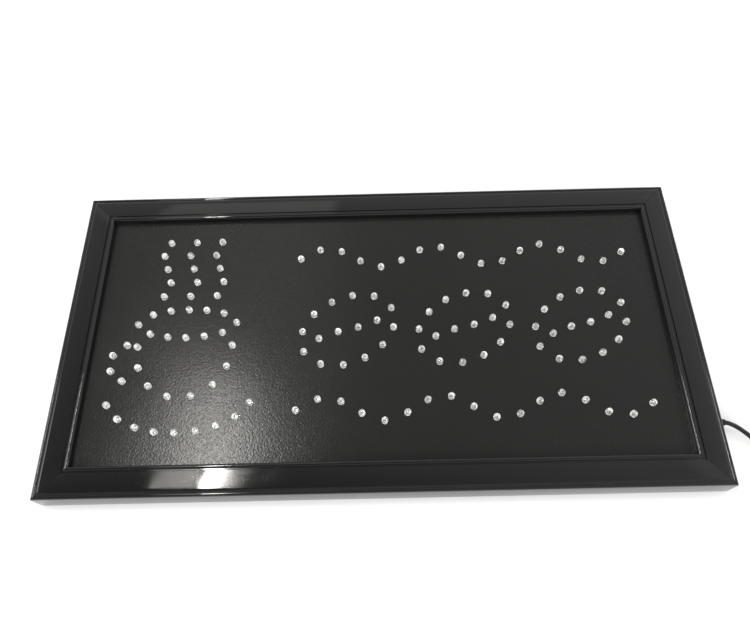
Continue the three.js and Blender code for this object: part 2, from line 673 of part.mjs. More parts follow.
// The plug's own axis is Z here: it starts at the lead's end and points away from it.
function plugGrip() {
  const { grip, neck, taper, length, boreDepth, bore, socket } = PLUG;
  const profile = [
    [0, 0],
    [bore, 0],
    [bore, -boreDepth],
    [neck, -boreDepth],
    [grip, -boreDepth + taper],
    [grip, length - boreDepth],
    [socket, length - boreDepth],
    [socket, length - boreDepth - BARREL.seated],
    [0, length - boreDepth - BARREL.seated],
  ];
  return turned(profile, ROUND_SIDES);
}

function plugBarrel() {
  const { outer, inner, length, seated } = BARREL;
  const base = PLUG.length - PLUG.boreDepth - seated + SEAT_GAP;
  const profile = [
    [0, base],
    [outer, base],
    [outer, base + length],
    [inner, base + length],
    [inner, base + seated],
    [0, base + seated],
  ];
  return turned(profile, ROUND_SIDES);
}

function atLeadEnd(geometry) {
  const upright = new THREE.Vector3(0, 0, 1);
  const turn = new THREE.Quaternion().setFromUnitVectors(upright, LEAD_END_HEADING);
  const start = LEAD_END.clone().addScaledVector(LEAD_END_HEADING, FIT_GAP);
  return geometry.applyQuaternion(turn).translate(start.x, start.y, start.z);
}

function addPowerLead() {
  add("power_lead", wire(leadPoints(), LEAD_RADIUS, LEAD_SIDES, LEAD_STEPS), LEAD_BLACK);
  add("strain_relief", strainRelief(), LEAD_BLACK);
  add("plug_grip", atLeadEnd(plugGrip()), LEAD_BLACK);
  add("plug_barrel", atLeadEnd(plugBarrel()), STEEL);
}

addFrame();
addDisplay();
addBack();
addButtons();
addController();
addFeedWires();
addPowerLead();

// The origin is the middle of the bottom rail's rear face.
sign.position.y = HALF_HEIGHT - RIM_WIDTH / 2;

export default sign;
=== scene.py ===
"""Looks for a window sign whose picture is drawn in small LEDs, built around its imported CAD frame.

The frame is in metres. New pieces are drawn in millimetres in the same frame and scaled as each
mesh is made. The sign lies on its back: +X to its right, +Y to its top, +Z out of its face.
"""

import math
import random

import bmesh
import bpy
from mathutils import Matrix, Vector
from mathutils.geometry import delaunay_2d_cdt


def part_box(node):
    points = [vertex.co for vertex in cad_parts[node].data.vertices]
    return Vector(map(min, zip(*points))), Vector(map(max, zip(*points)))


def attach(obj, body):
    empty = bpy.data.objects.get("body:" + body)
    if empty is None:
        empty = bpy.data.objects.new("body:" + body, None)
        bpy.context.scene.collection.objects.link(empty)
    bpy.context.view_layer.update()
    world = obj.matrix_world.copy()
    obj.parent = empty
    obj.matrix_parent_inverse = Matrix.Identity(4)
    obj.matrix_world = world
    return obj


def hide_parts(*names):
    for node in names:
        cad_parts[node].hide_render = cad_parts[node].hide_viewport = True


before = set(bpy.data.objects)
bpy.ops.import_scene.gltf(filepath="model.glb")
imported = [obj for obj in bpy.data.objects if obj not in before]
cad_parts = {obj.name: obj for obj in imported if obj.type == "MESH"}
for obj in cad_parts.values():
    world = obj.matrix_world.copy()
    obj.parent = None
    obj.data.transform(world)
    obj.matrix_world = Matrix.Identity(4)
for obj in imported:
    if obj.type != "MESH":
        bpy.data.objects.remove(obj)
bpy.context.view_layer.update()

MM = 0.001
TURN = 2 * math.pi
QUARTER = math.pi / 2
CREASE_ANGLE = math.radians(38)
CASE = "case"

# Rail section, millimetres: u runs inward from the outer edge, z up from the rear plane
ROLL_RADIUS = 1.6
WALL_TOP = 18.2
FACE_START = (4.4, 20.3)
FACE_CROWN = (10.7, 20.5)
FACE_END = (17.6, 20.35)
GROOVE = [(18.1, 19.4), (18.7, 19.4)]
BEAD_RADIUS = 1.8
OPENING_U = 22.3
LIP_UNDERSIDE = 15.1
SLOT_U = 15
FIN_U = 21
FIN_BOTTOM = 6.5
FIN_TOP = 12.5
RIM_WIDTH = 14
CHANNEL = [(2.2, 2.2), (11.8, 2.2), (11.8, 15), (2.2, 15)]
MITRE_GAP = 0.05
MITRE_CHAMFER = 0.12
RAIL_STATIONS = 40
FOOT_RADIUS = 0.8

# Front panel and rear cover
PANEL_EDGE_U = 15.3
PANEL_BACK = 12.8
PANEL_FACE = 14.8
LED_HOLE_RADIUS = 2.78
COVER_EDGE_U = 14.3
COVER_BACK = 4.2
COVER_FRONT = 6.2
SHEET_EASE = 0.08

# LEDs and their wires
LED_FLANGE_RADIUS = 2.9
LED_RADIUS = 2.5
LED_BASE = 11.7
LED_FLANGE_TOP = 12.7
LED_SHOULDER = 16.3
LED_SIDES = 28
LED_DOME_RINGS = 9
LED_TILT = math.radians(1.2)
LED_POST_FOOT = 9.9
STRING_WIRE_RADIUS = 0.35
STRING_WIRE_Z = 11.3
STRING_WIRE_SLACK = 0.6

# Fixings and hangers on the back
SCREW_HEAD_RADIUS = 2.6
SCREW_HEAD_HEIGHT = 1.2
SCREW_SHANK_RADIUS = 1.3
SCREW_HOLE_RADIUS = 1.6
# A pan head's crown, as (radius, height above its lowest point)
SCREW_CROWN = [(0, 0), (1.4, 0.04), (2.1, 0.22), (2.48, 0.55), (SCREW_HEAD_RADIUS, 0.85)]
THREAD_PITCH = 0.9
THREAD_DEPTH = 0.22
SHEET_METAL = 0.8
KNUCKLE_RADIUS = 1.8
KNUCKLE_BORE = 1.15
STRAP_TAIL = 16
STRAP_HALF_WIDTH = 5
STRAP_CORNER = 2.2
RING_WIRE = 0.9
RING_HALF_WIDTH = 7.4
RING_REACH = 12
RING_CORNER = 1.6

# Buttons, lead and plug
BUTTON_RADIUS = 2.9
BUTTON_HOLE_RADIUS = 3.2
# A button's rounded cap and the dish in it, as (radius, depth below its top)
BUTTON_CAP = [(BUTTON_RADIUS, 0.7), (2.82, 0.42), (2.6, 0.15), (2.25, 0)]
BUTTON_DISH = [(1.95, 0.03), (1.2, 0.22), (0.6, 0.28), (0, 0.3)]
STEM_RADIUS = 1.2
STEM_BORE_RADIUS = 1.5
LEAD_RADIUS = 1.6
LEAD_SIDES = 24
LEAD_BORE_RADIUS = 2.6
RELIEF_HOLE_RADIUS = 3.4
RELIEF_NECK = 3.1
RELIEF_FLANGE = 4.4
GRIP_RADIUS = 4.6
GRIP_END = 16
SOCKET_RADIUS = 2.95
SOCKET_FLOOR = 11.4
BARREL_RADIUS = 2.75
BARREL_BORE = 1.05
BARREL_END = 25.5
ROUND_SIDES = 40

# Stage, light and camera, in metres and degrees
FLOOR_DROP = 0.0002
FLOOR_REACH = 12
HORIZON_LIGHT = 0.9
OVERHEAD_LIGHT = 0.08
DIM_SIDE = (-0.28, -0.1, 1)
DIM_SPREAD = 3
SOFT_LIGHT_ANGLE = math.radians(34)
SOFT_LIGHTS = {  # where each shines from, and its strength
    "left": ((-0.85, 0.05, 0.65), 1.2),
    "right": ((0.85, -0.1, 0.65), 1.0),
    "front": ((0.1, -0.8, 0.6), 1.8),
}
WINDOW_HEIGHT = 1.39
WINDOW_TINT = (1, 0.985, 0.94)
WINDOWS = {  # the middle's x and y, width, length and brightness
    "bright_window": (-0.466, 0.38, 0.052, 0.44, 80),
    "dim_window": (-0.57, 0.38, 0.12, 0.4, 5),
    "far_window": (-0.42, 1.0, 0.56, 0.8, 0.6),
}
CAMERA_PLACE = (0.0004, -0.1051, 0.4779)
CAMERA_TURN = (26.91, 0.95, -1.0)
CAMERA_LENS = 32.2
CAMERA_SENSOR = 36
CAMERA_NEAR = 0.01


# ---- Shells: (points, faces), each one closed ------------------------------------------------


def bridged(low, high):
    """The faces between two rings of vertex numbers; a ring of one vertex is a pole."""
    count = max(len(low), len(high))
    faces = []
    for i in range(count):
        j = (i + 1) % count
        corners = [low[i % len(low)], low[j % len(low)], high[j % len(high)], high[i % len(high)]]
        faces.append(tuple(dict.fromkeys(corners)))
    return faces


def turned(profile, sides=ROUND_SIDES):
    """A shell turned about +Z from (radius, height) points.

    A profile that starts off the axis is closed into a ring with a bore.
    """
    points = []
    rings = []
    for radius, height in profile:
        count = sides if radius else 1
        rings.append(range(len(points), len(points) + count))
        for i in range(count):
            angle = TURN * i / sides
            points.append(Vector((radius * math.cos(angle), radius * math.sin(angle), height)))
    if profile[0][0]:
        rings.append(rings[0])
    faces = []
    for low, high in zip(rings, rings[1:]):
        faces += bridged(low, high)
    return points, faces


def capped(points, loops, flatten):
    """Triangles that fill a layer's outline, leaving its convex holes open."""
    numbers = [n for loop in loops for n in loop]
    owner = [which for which, loop in enumerate(loops) for _ in loop]
    edges = []
    first = 0
    for loop in loops:
        count = len(loop)
        edges += [(first + i, first + (i + 1) % count) for i in range(count)]
        first += count
    flat = [Vector(flatten(points[n])) for n in numbers]
    inside_constraints = 1
    _, _, triangles, sources, _, _ = delaunay_2d_cdt(flat, edges, [], inside_constraints, 1e-6)
    faces = []
    for triangle in triangles:
        corners = [sources[corner][0] for corner in triangle]
        owners = {owner[corner] for corner in corners}
        if len(owners) > 1 or owners == {0}:
            faces.append(tuple(numbers[corner] for corner in corners))
    return faces


def from_above(point):
    return point.xy


def from_side(point):
    return point.yz


def stacked(layers, flatten=from_above):
    """A shell through layers of matching loops: walls between the layers and a cap at each end."""
    points = []
    stack = []
    for layer in layers:
        stack.append([])
        for loop in layer:
            stack[-1].append(range(len(points), len(points) + len(loop)))
            points += [Vector(point) for point in loop]
    faces = capped(points, stack[0], flatten) + capped(points, stack[-1], flatten)
    for lower, upper in zip(stack, stack[1:]):
        for low, high in zip(lower, upper):
            faces += bridged(low, high)
    return points, faces


def upright(outline, low, high):
    """A prism from low to high over a flat outline."""
    return stacked([[[(x, y, z) for x, y in outline]] for z in (low, high)])


def circle(x, y, radius, sides=ROUND_SIDES):
    turns = [TURN * i / sides for i in range(sides)]
    return [(x + radius * math.cos(t), y + radius * math.sin(t)) for t in turns]


def arc(x, y, radius, start, end, steps):
    """Points of an arc, its angles in degrees."""
    angles = [math.radians(start + (end - start) * i / steps) for i in range(steps + 1)]
    return [(x + radius * math.cos(a), y + radius * math.sin(a)) for a in angles]


def wire(path, radius, sides, closed=False):
    """A round wire along a path of points."""
    count = len(path)
    points = []
    rings = []
    side = None
    for i, centre in enumerate(path):
        before = path[i - 1] if i or closed else centre
        after = path[(i + 1) % count] if i + 1 < count or closed else centre
        along = (after - before).normalized()
        side = side or along.orthogonal()
        side = (side - along * side.dot(along)).normalized()
        up = along.cross(side)
        rings.append(range(len(points), len(points) + sides))
        for x, y in circle(0, 0, radius, sides):
            points.append(centre + side * x + up * y)
    faces = []
    if closed:
        rings.append(rings[0])
    else:
        faces += [tuple(reversed(rings[0])), tuple(rings[-1])]
    for low, high in zip(rings, rings[1:]):
        faces += bridged(low, high)
    return points, faces


def rounded_bar(half_x, half_y, low, high, ease):
    """An upright bar of rectangular section with its ends and edges eased."""
    layers = []
    for inset, z in [(ease, low), (0, low + ease), (0, high - ease), (ease, high)]:
        x = half_x - inset
        y = half_y - inset
        corners = [(x - ease, -y), (x, -y + ease), (x, y - ease), (x - ease, y)]
        outline = corners + [(-a, -b) for a, b in corners]
        layers.append([[(a, b, z) for a, b in outline]])
    return stacked(layers)


def moved(shell, matrix):
    points, faces = shell
    return [matrix @ point for point in points], faces


def together(shells):
    points = []
    faces = []
    for shell_points, shell_faces in shells:
        offset = len(points)
        points += shell_points
        faces += [tuple(offset + n for n in face) for face in shell_faces]
    return points, faces


def along(direction, origin):
    """The matrix that stands +Z along a direction, with its foot at the origin given."""
    turn = Vector(direction).to_track_quat("Z", "Y")
    return Matrix.Translation(origin) @ turn.to_matrix().to_4x4()


# ---- Pieces ----------------------------------------------------------------------------------


def mesh_object(name, shell):
    points, faces = shell
    mesh = bpy.data.meshes.new(name)
    mesh.from_pydata(points, [], faces)
    work = bmesh.new()
    work.from_mesh(mesh)
    bmesh.ops.recalc_face_normals(work, faces=work.faces)
    work.to_mesh(mesh)
    work.free()
    obj = bpy.data.objects.new(name, mesh)
    bpy.context.scene.collection.objects.link(obj)
    return obj


def apply_modifiers(obj):
    depsgraph = bpy.context.evaluated_depsgraph_get()
    mesh = bpy.data.meshes.new_from_object(obj.evaluated_get(depsgraph))
    obj.modifiers.clear()
    obj.data = mesh


def cut(obj, tool_shell):
    """Cuts closed tools out of an object while it is still in millimetres."""
    tool = mesh_object(obj.name + "_tool", tool_shell)
    boolean = obj.modifiers.new("cut", "BOOLEAN")
    boolean.object = tool
    boolean.solver = "EXACT"
    apply_modifiers(obj)
    bpy.data.objects.remove(tool)


def ease_edges(obj, width):
    bevel = obj.modifiers.new("ease", "BEVEL")
    bevel.width = width
    bevel.segments = 2
    bevel.limit_method = "ANGLE"
    bevel.angle_limit = CREASE_ANGLE
    apply_modifiers(obj)


def finish_piece(obj, material, body=CASE, replaces=()):
    """Scales an object to metres, gives it its looks and seats it on its body."""
    mesh = obj.data
    mesh.transform(Matrix.Scale(MM, 4))
    mesh.shade_smooth()
    mesh.set_sharp_from_angle(angle=CREASE_ANGLE)
    mesh.materials.clear()
    mesh.materials.append(material)
    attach(obj, body)
    if replaces:
        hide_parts(*replaces)


def piece(name, shell, material, body=CASE, replaces=(), tools=None):
    """A finished piece of the sign from a shell in millimetres, less the tools that cut it."""
    obj = mesh_object(name, shell)
    if tools:
        cut(obj, tools)
    finish_piece(obj, material, body, replaces)


def box_mm(*nodes):
    """The lowest and highest corners of some CAD nodes together, in millimetres."""
    boxes = [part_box(node) for node in nodes]
    low = Vector([min(box[0][i] for box in boxes) for i in range(3)]) / MM
    high = Vector([max(box[1][i] for box in boxes) for i in range(3)]) / MM
    return low, high


def centre_mm(node):
    low, high = box_mm(node)
    return (low + high) / 2


def cluster_centres(points, reach):
    """The centre of each group of points that lie within reach of the group's first point."""
    clusters = []
    for point in sorted({p.to_tuple(3) for p in points}):
        place = Vector(point)
        near = [c for c in clusters if (c[0] - place).length < reach]
        if near:
            near[0].append(place)
        else:
            clusters.append([place])
    return [sum(cluster, Vector()) / len(cluster) for cluster in clusters]


def node_points(node):
    return [vertex.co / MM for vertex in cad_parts[node].data.vertices]


RAILS = ["rail_bottom", "rail_right", "rail_top", "rail_left"]
SIGN_LOW, SIGN_HIGH = box_mm(*RAILS)
SIGN_CENTRE = (SIGN_LOW + SIGN_HIGH) / 2
HALF_WIDTH = (SIGN_HIGH.x - SIGN_LOW.x) / 2
HALF_HEIGHT = (SIGN_HIGH.y - SIGN_LOW.y) / 2


# ---- Materials -------------------------------------------------------------------------------


class Nodes:
    """Builds a shader node tree from empty."""

    def __init__(self, tree):
        self.tree = tree
        self.tree.nodes.clear()

    def node(self, kind, inputs=None, **settings):
        made = self.tree.nodes.new(kind)
        for key, value in settings.items():
            setattr(made, key, value)
        for key, value in (inputs or {}).items():
            if isinstance(value, bpy.types.NodeSocket):
                self.tree.links.new(value, made.inputs[key])
            else:
                made.inputs[key].default_value = value
        return made

    def remap(self, value, low, high, start, end):
        """Carries low..high over to start..end, holding the ends."""
        inputs = {"Value": value, "From Min": low, "From Max": high}
        inputs.update({"To Min": start, "To Max": end})
        return self.node("ShaderNodeMapRange", inputs).outputs[0]

    def math(self, operation, one, other):
        return self.node("ShaderNodeMath", {0: one, 1: other}, operation=operation).outputs[0]


class Paint(Nodes):
    """One material's nodes. Its patterns are laid out in metres, so a scale of 1000 is 1 mm."""

    def __init__(self, name):
        self.material = bpy.data.materials.new(name)
        self.material.use_nodes = True
        super().__init__(self.material.node_tree)
        self.place = self.node("ShaderNodeTexCoord").outputs["Object"]

    def noise(self, scale, detail=2.0, place=None):
        inputs = {"Vector": place or self.place, "Scale": scale, "Detail": detail}
        return self.node("ShaderNodeTexNoise", inputs).outputs[0]

    def cells(self, scale, feature="SMOOTH_F1", place=None):
        inputs = {"Vector": place or self.place, "Scale": scale}
        return self.node("ShaderNodeTexVoronoi", inputs, feature=feature).outputs["Distance"]

    def stretched(self, x, y, z, turn=0):
        inputs = {"Vector": self.place, "Scale": (x, y, z), "Rotation": (0, 0, math.radians(turn))}
        return self.node("ShaderNodeMapping", inputs).outputs[0]

    def blend(self, amount, one, other):
        inputs = {0: amount, 6: (*one, 1) if isinstance(one, tuple) else one, 7: (*other, 1)}
        return self.node("ShaderNodeMix", inputs, data_type="RGBA").outputs[2]

    def edges(self, start, end):
        """How far a spot lies on an outward edge, from 0 to 1."""
        pointiness = self.node("ShaderNodeNewGeometry").outputs["Pointiness"]
        return self.remap(pointiness, start, end, 0, 1)

    def bump(self, *layers):
        """A normal from (height, depth in metres) layers, coarse to fine."""
        normal = None
        for height, depth in layers:
            inputs = {"Height": height, "Distance": depth}
            if normal:
                inputs["Normal"] = normal
            normal = self.node("ShaderNodeBump", inputs).outputs[0]
        return normal

    def surface(self, **inputs):
        """Ends the material in one Principled shader; underscores in a name stand for spaces."""
        named = {key.replace("_", " "): value for key, value in inputs.items()}
        shader = self.node("ShaderNodeBsdfPrincipled", named).outputs[0]
        return self.end(shader)

    def end(self, shader):
        self.node("ShaderNodeOutputMaterial", {"Surface": shader})
        return self.material


def gloss_black(axis):
    """Polished polystyrene moulding run out along an axis: drawing lines, hand marks and dust."""
    paint = Paint("gloss_black_moulding_" + axis)
    lines_across = {"x": (6, 900, 900), "y": (900, 6, 900)}[axis]
    drawn_lines = paint.noise(1, detail=2, place=paint.stretched(*lines_across))
    smudges = paint.remap(paint.noise(26, detail=4), 0.4, 0.72, 0.04, 0.11)
    hairlines = paint.noise(1, detail=1, place=paint.stretched(90, 2600, 2600, turn=24))
    cross_hairlines = paint.noise(1, detail=1, place=paint.stretched(2600, 90, 2600, turn=-15))
    scratched = paint.math("MAXIMUM", hairlines, cross_hairlines)
    scratched = paint.remap(scratched, 0.7, 0.8, 0, 0.1)
    worn = paint.edges(0.52, 0.62)
    roughness = paint.math("ADD", smudges, scratched)
    roughness = paint.math("ADD", roughness, paint.math("MULTIPLY", worn, 0.08))
    dust = paint.remap(paint.noise(1700, detail=0), 0.76, 0.84, 0, 0.04)
    black = paint.blend(worn, (0.006, 0.006, 0.0062), (0.012, 0.012, 0.0124))
    colour = paint.blend(dust, black, (0.34, 0.33, 0.31))
    sink_marks = paint.noise(9, detail=1)
    orange_peel = paint.noise(420, detail=1)
    normal = paint.bump((sink_marks, 0.00012), (drawn_lines, 0.0000025), (orange_peel, 0.000001))
    return paint.surface(Base_Color=colour, Roughness=roughness, Normal=normal, IOR=1.5)


def pebbled_panel():
    """Vinyl-skinned sheet: fine pebble grain, a soft sheen and a little dust in the grain."""
    paint = Paint("pebbled_black_sheet")
    pebbles = paint.cells(740)
    leather = paint.noise(900, detail=1)
    grit = paint.noise(3200, detail=1)
    patches = paint.noise(14, detail=3)
    valley = paint.remap(pebbles, 0.3, 0.75, 0, 1)
    tone = paint.blend(patches, (0.0094, 0.0093, 0.009), (0.0118, 0.0117, 0.0113))
    colour = paint.blend(paint.math("MULTIPLY", valley, 0.35), tone, (0.02, 0.0198, 0.0192))
    dust = paint.remap(paint.noise(1300, detail=0), 0.77, 0.86, 0, 0.05)
    colour = paint.blend(dust, colour, (0.4, 0.39, 0.37))
    roughness = paint.remap(patches, 0.3, 0.7, 0.17, 0.21)
    shine = paint.remap(pebbles, 0.25, 0.7, 0.62, 0.36)
    normal = paint.bump((leather, 0.000068), (pebbles, 0.000028), (grit, 0.000006))
    finish = {"Roughness": roughness, "Specular_IOR_Level": shine, "IOR": 1.35}
    return paint.surface(Base_Color=colour, Normal=normal, **finish)


def painted_hardboard():
    """Pressed fibre board with a dull black coat, its fibres showing through."""
    paint = Paint("painted_hardboard")
    fibres = paint.noise(1, detail=4, place=paint.stretched(500, 1600, 1600, turn=35))
    cross_fibres = paint.noise(1, detail=4, place=paint.stretched(1500, 450, 1500, turn=12))
    mat = paint.math("MAXIMUM", fibres, cross_fibres)
    rubbed = paint.remap(paint.noise(18, detail=5), 0.5, 0.75, 0, 0.6)
    standing = paint.remap(mat, 0.45, 0.7, 0, 1)
    tone = paint.blend(standing, (0.008, 0.0078, 0.0075), (0.034, 0.031, 0.028))
    colour = paint.blend(rubbed, tone, (0.036, 0.034, 0.031))
    roughness = paint.remap(mat, 0.4, 0.7, 0.62, 0.85)
    return paint.surface(Base_Color=colour, Roughness=roughness, Normal=paint.bump((mat, 0.0002)))


def clear_epoxy():
    """Water-clear cast epoxy. Shadow rays pass straight through, so the parts inside stay lit."""
    paint = Paint("clear_epoxy")
    flow = paint.noise(420, detail=1)
    haze = paint.remap(paint.noise(900, detail=2), 0.4, 0.7, 0.0, 0.06)
    inputs = {
        "Base Color": (0.96, 0.98, 0.98, 1),
        "Roughness": haze,
        "IOR": 1.53,
        "Transmission Weight": 1.0,
        "Normal": paint.bump((flow, 0.00003)),
    }
    epoxy = paint.node("ShaderNodeBsdfPrincipled", inputs).outputs[0]
    clear = paint.node("ShaderNodeBsdfTransparent", {"Color": (0.8, 0.8, 0.8, 1)}).outputs[0]
    shadow = paint.node("ShaderNodeLightPath").outputs["Is Shadow Ray"]
    return paint.end(paint.node("ShaderNodeMixShader", {0: shadow, 1: epoxy, 2: clear}).outputs[0])


def painted_light_foot():
    """The frosted foot: painted brightness for light the dome gathers, with painted bright and dark
    spots.
    """
    paint = Paint("epoxy_foot_painted_light")
    painted_spots = paint.remap(paint.noise(620, detail=2), 0.4, 0.6, 0, 1)
    # painted light and shade: a pale colour with bright and dark spots, for light and glints seen in
    # the dome
    colour = paint.blend(painted_spots, (0.24, 0.245, 0.245), (0.85, 0.85, 0.83))
    roughness = paint.remap(painted_spots, 0, 1, 0.35, 0.6)
    normal = paint.bump((painted_spots, 0.0001))
    return paint.surface(Base_Color=colour, Roughness=roughness, Normal=normal)


def bare_metal(name, colour, tarnish, roughness, grain=(1500, 90, 1500)):
    """Plated or drawn metal with a directional grain, tarnish in patches and brighter edges."""
    paint = Paint(name)
    brushed = paint.noise(1, detail=3, place=paint.stretched(*grain))
    patches = paint.noise(160, detail=4)
    tone = paint.blend(paint.remap(patches, 0.4, 0.7, 0, 1), colour, tarnish)
    tone = paint.blend(paint.math("MULTIPLY", paint.edges(0.52, 0.7), 0.5), tone, (0.8, 0.8, 0.8))
    rough = paint.remap(patches, 0.3, 0.7, roughness, roughness + 0.16)
    normal = paint.bump((patches, 0.00002), (brushed, 0.000008))
    return paint.surface(Base_Color=tone, Metallic=1.0, Roughness=rough, Normal=normal)


def soft_vinyl(name, dark, light, gloss=0.42):
    """Extruded or moulded vinyl: slightly blotchy, with a fine skin and handling marks."""
    paint = Paint(name)
    blotches = paint.noise(220, detail=4)
    skin = paint.noise(2800, detail=2)
    dust = paint.remap(paint.noise(1500, detail=1), 0.7, 0.82, 0, 0.08)
    tone = paint.blend(paint.remap(blotches, 0.35, 0.7, 0, 1), dark, light)
    colour = paint.blend(dust, tone, (0.3, 0.29, 0.27))
    rough = paint.remap(blotches, 0.3, 0.7, gloss, gloss + 0.18)
    normal = paint.bump((blotches, 0.00003), (skin, 0.000012))
    return paint.surface(Base_Color=colour, Roughness=rough, Normal=normal, IOR=1.4)


def satin_plastic(name, dark, light, gloss=0.28):
    """Moulded button plastic with spark-eroded grain and rubbed edges."""
    paint = Paint(name)
    grain = paint.noise(2400, detail=2)
    blotches = paint.noise(300, detail=3)
    tone = paint.blend(blotches, dark, light)
    lighter = tuple(min(1, channel * 2.2 + 0.02) for channel in light)
    colour = paint.blend(paint.math("MULTIPLY", paint.edges(0.53, 0.68), 0.6), tone, lighter)
    rough = paint.remap(blotches, 0.3, 0.7, gloss, gloss + 0.2)
    return paint.surface(Base_Color=colour, Roughness=rough, Normal=paint.bump((grain, 0.000012)))


def circuit_board():
    """Green solder mask over copper tracks on a woven glass board."""
    paint = Paint("circuit_board")
    weave = paint.node("ShaderNodeTexChecker", {"Vector": paint.place, "Scale": 1900}).outputs[1]
    tracks = paint.cells(420, feature="DISTANCE_TO_EDGE")
    copper = paint.remap(tracks, 0.06, 0.09, 1, 0)
    mottle = paint.noise(90, detail=3)
    mask = paint.blend(mottle, (0.008, 0.075, 0.028), (0.014, 0.11, 0.045))
    colour = paint.blend(paint.math("MULTIPLY", copper, 0.5), mask, (0.09, 0.2, 0.06))
    normal = paint.bump((copper, 0.00003), (weave, 0.000004))
    return paint.surface(Base_Color=colour, Roughness=0.3, Normal=normal, Coat_Weight=0.3)


def open_foam():
    """White foam tape: open cells that cast tiny shadows."""
    paint = Paint("white_foam_tape")
    pores = paint.cells(2200)
    shade = paint.remap(pores, 0.1, 0.6, 1, 0)
    colour = paint.blend(shade, (0.72, 0.71, 0.66), (0.38, 0.37, 0.34))
    return paint.surface(Base_Color=colour, Roughness=0.9, Normal=paint.bump((pores, 0.0002)))


FRAME_BLACK = {"x": gloss_black("x"), "y": gloss_black("y")}
PANEL = pebbled_panel()
HARDBOARD = painted_hardboard()
EPOXY = clear_epoxy()
PAINTED_LIGHT_FOOT = painted_light_foot()
LEAD_FRAME = bare_metal("tinned_lead_frame", (0.62, 0.62, 0.6), (0.4, 0.39, 0.36), 0.3)
ZINC = bare_metal("zinc_plated_steel", (0.6, 0.61, 0.63), (0.42, 0.41, 0.38), 0.24)
NICKEL = bare_metal("nickel_plate", (0.72, 0.7, 0.66), (0.55, 0.52, 0.46), 0.14)
CAN = bare_metal("aluminium_can", (0.7, 0.71, 0.72), (0.5, 0.5, 0.5), 0.3)
BLACK_VINYL = soft_vinyl("black_vinyl", (0.004, 0.004, 0.0042), (0.009, 0.009, 0.009))
RED_VINYL = soft_vinyl("red_vinyl", (0.22, 0.012, 0.01), (0.32, 0.02, 0.014), gloss=0.32)
CHIP = soft_vinyl("black_chip_epoxy", (0.012, 0.012, 0.012), (0.022, 0.022, 0.022), gloss=0.55)
NYLON = satin_plastic("grey_nylon", (0.13, 0.13, 0.135), (0.2, 0.2, 0.2), gloss=0.45)
RED_PLASTIC = satin_plastic("red_button_plastic", (0.26, 0.012, 0.01), (0.36, 0.02, 0.016))
BLACK_PLASTIC = satin_plastic("black_button_plastic", (0.012, 0.012, 0.012), (0.02, 0.02, 0.02))
BOARD = circuit_board()
FOAM = open_foam()


# ---- Frame rails -----------------------------------------------------------------------------


def crown_points():
    """The face's shallow arch, as a quadratic curve from its start to its end."""
    steps = 22
    control = (FACE_CROWN[0], 2 * FACE_CROWN[1] - (FACE_START[1] + FACE_END[1]) / 2)
    points = []
    for i in range(steps + 1):
        t = i / steps
        weights = ((1 - t) ** 2, 2 * t * (1 - t), t * t)
        corners = (FACE_START, control, FACE_END)
        points.append(tuple(sum(w * c[k] for w, c in zip(weights, corners)) for k in (0, 1)))
    return points


def rail_section():
    """The rail's outline: foot, outer wall, rolled edge, face, groove, bead, slot and fin."""
    foot = arc(FOOT_RADIUS, FOOT_RADIUS, FOOT_RADIUS, 270, 180, 5)
    roll = arc(ROLL_RADIUS, WALL_TOP, ROLL_RADIUS, 180, 40, 16)
    bead_u = OPENING_U - BEAD_RADIUS
    bead_z = GROOVE[0][1] - BEAD_RADIUS / 2
    bead = arc(bead_u, bead_z, BEAD_RADIUS, 150, 0, 16)
    slot = [(OPENING_U, LIP_UNDERSIDE), (SLOT_U, LIP_UNDERSIDE), (SLOT_U, FIN_TOP)]
    fin = [(FIN_U, FIN_TOP), (FIN_U, FIN_BOTTOM), (RIM_WIDTH, FIN_BOTTOM), (RIM_WIDTH, 0)]
    return foot + roll + crown_points() + GROOVE + bead + slot + fin


def inset_loop(loop, distance):
    """A closed loop drawn in by a distance, towards its own inside."""
    count = len(loop)
    area = sum(loop[i - 1][0] * loop[i][1] - loop[i][0] * loop[i - 1][1] for i in range(count))
    side = math.copysign(distance, area)
    drawn = []
    for i, point in enumerate(loop):
        before = (Vector(point) - Vector(loop[i - 1])).normalized()
        after = (Vector(loop[(i + 1) % count]) - Vector(point)).normalized()
        inward = Vector((-(before.y + after.y), before.x + after.x))
        inward *= side / max(1 + before.dot(after), 0.2)
        drawn.append(tuple(Vector(point) + inward))
    return drawn


def rail(length, distance, turn):
    """A mitred rail along the sign's bottom edge, turned round to its own side."""
    outline = rail_section()
    drawn = [inset_loop(outline, MITRE_CHAMFER), inset_loop(CHANNEL, -MITRE_CHAMFER)]
    whole = [outline, CHANNEL]
    shares = [2 * i / RAIL_STATIONS - 1 for i in range(RAIL_STATIONS + 1)]
    stations = [(share, whole, MITRE_CHAMFER) for share in shares]
    stations = [(-1, drawn, 0)] + stations + [(1, drawn, 0)]
    layers = []
    for share, loops, pull in stations:
        layer = []
        for loop in loops:
            reach = [length / 2 - u - MITRE_GAP - pull for u, _ in loop]
            layer.append([(share * x, u - distance, z) for x, (u, z) in zip(reach, loop)])
        layers.append(layer)
    shell = stacked(layers, from_side)
    place = Matrix.Translation((SIGN_CENTRE.x, SIGN_CENTRE.y, 0)) @ Matrix.Rotation(turn, 4, "Z")
    return moved(shell, place)


def bar_across(place, radius, from_u, to_u):
    """A cutting tool through the right rail, level with a place and between two depths."""
    start = Vector((SIGN_HIGH.x - to_u, place.y, place.z))
    length = to_u - from_u
    profile = [(0, 0), (radius, 0), (radius, length), (0, length)]
    return moved(turned(profile), along((1, 0, 0), start))


